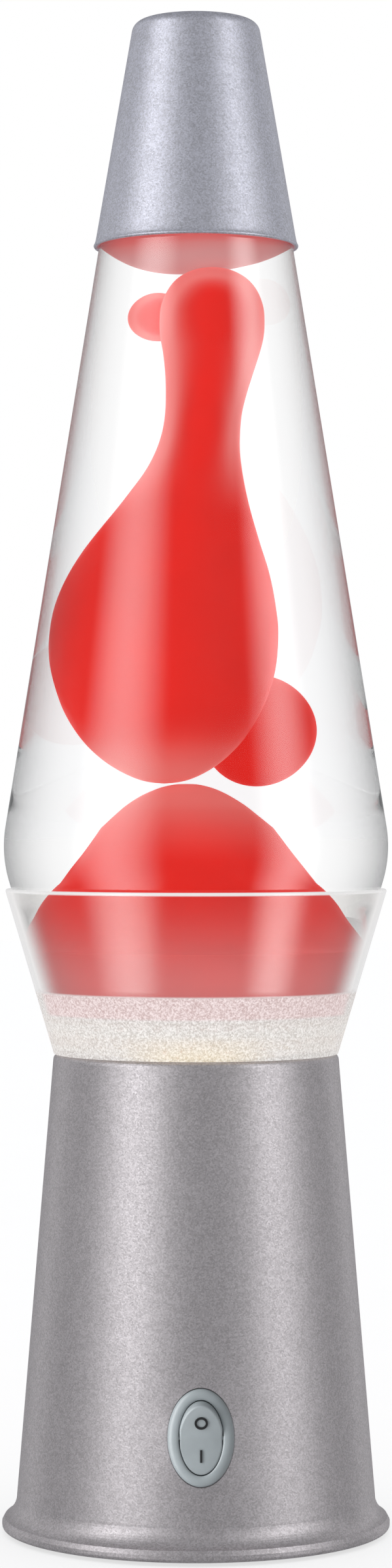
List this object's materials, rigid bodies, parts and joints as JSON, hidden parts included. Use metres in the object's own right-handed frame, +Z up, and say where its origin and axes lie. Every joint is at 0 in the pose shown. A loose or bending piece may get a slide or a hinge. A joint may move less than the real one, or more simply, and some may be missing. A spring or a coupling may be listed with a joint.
{
  "type": "lava lamp",
  "caption": "Liquid-motion lamp: a tapered glass globe of wax and clear liquid in a translucent collar on a tall metal base, with a metal cap, rocker switch and screw-in bulb.",
  "frame": {"origin": "on the rest plane under the lamp's axis, at the middle of its footprint", "axes": "+Z up the lamp's axis, -Y out of the switch side, +X to the right seen from the switch side"},
  "size_m": [0.0942, 0.0942, 0.368],
  "materials": {
    "base_paint": "fine-grained metallic silver paint, slightly warm",
    "cap_paint": "fine-grained metallic silver paint, slightly blue",
    "grey_steel": "satin dark grey",
    "zinc_steel": "zinc plated, satin",
    "tinned_steel": "tinned, satin",
    "coil_steel": "bare wire, dull",
    "solder": "dull solder",
    "filament": "drawn wire and glass stem",
    "brass": "pressed, satin",
    "reflector_aluminium": "polished",
    "black_rubber": "matt",
    "socket_ceramic": "unglazed",
    "black_glass": "glossy",
    "switch_plastic": "satin grey",
    "black_ink": "printed",
    "white_plastic": "satin",
    "brown_insulation": "satin",
    "blue_insulation": "satin",
    "frosted_collar": "clear with a faint haze, its lower band frosted",
    "globe_glass": "clear and glossy",
    "bulb_glass": "clear",
    "clear_liquid": "clear liquid",
    "red_wax": "translucent saturated red wax"
  },
  "bodies": {
    "base": {"base_shell": "base_paint", "base_plate": "grey_steel", "plate_screws": "zinc_steel", "rubber_feet": "black_rubber", "collar": "frosted_collar", "deck_screws": "zinc_steel", "socket_bracket": "zinc_steel", "socket_screw": "zinc_steel", "socket_body": "socket_ceramic", "socket_shell": "brass", "socket_contact": "brass", "reflector": "reflector_aluminium", "switch_frame": "switch_plastic", "switch_terminals": "brass", "spade_connectors": "tinned_steel", "cord_gland": "black_rubber", "live_lead": "brown_insulation", "switched_lead": "brown_insulation", "neutral_lead": "blue_insulation"},
    "rocker": {"rocker": "switch_plastic", "rocker_marks": "black_ink", "plunger": "white_plastic", "plunger_spring": "zinc_steel"},
    "contact_lever": {"contact_lever": "brass"},
    "bulb_tip": {"bulb_tip": "solder"},
    "bulb": {"bulb_glass": "bulb_glass", "bulb_cap": "brass", "bulb_insulator": "black_glass", "filament_mount": "filament"},
    "globe": {"globe_glass": "globe_glass", "liquid": "clear_liquid", "top_wax": "red_wax", "main_blob": "red_wax", "high_ball": "red_wax", "low_ball": "red_wax", "wax_mound": "red_wax", "coil_ring": "coil_steel", "crown_closure": "zinc_steel", "closure_liner": "white_plastic"},
    "cap": {"cap_shell": "cap_paint"}
  },
  "joints": [
    {"name": "rocker_tilt", "type": "hinge", "parent": "base", "child": "rocker", "pos_m": [0, -0.04142, 0.02903], "axis": [1, 0, 0], "range_deg": [-22, 0]},
    {"name": "lever_tilt", "type": "hinge", "parent": "base", "child": "contact_lever", "pos_m": [0, -0.03524, 0.02852], "axis": [1, 0, 0], "range_deg": [0, 14]},
    {"name": "bulb_rise", "type": "slide", "parent": "base", "child": "bulb_tip", "axis": [0, 0, 1], "range_m": [0, 0.00987]},
    {"name": "bulb_turn", "type": "hinge", "parent": "bulb_tip", "child": "bulb", "pos_m": [0, 0, 0.0493], "axis": [0, 0, 1], "range_deg": [0, 1260]},
    {"name": "globe_lift", "type": "slide", "parent": "base", "child": "globe", "axis": [0, 0, 1], "range_m": [0, 0.06]},
    {"name": "cap_lift", "type": "slide", "parent": "globe", "child": "cap", "axis": [0, 0, 1], "range_m": [0, 0.06]}
  ],
  "couplings": [
    {"joint": "lever_tilt", "follows": "rocker_tilt", "ratio": -0.63636},
    {"joint": "bulb_rise", "follows": "bulb_turn", "m_per_rad": 0.00044882}
  ]
}
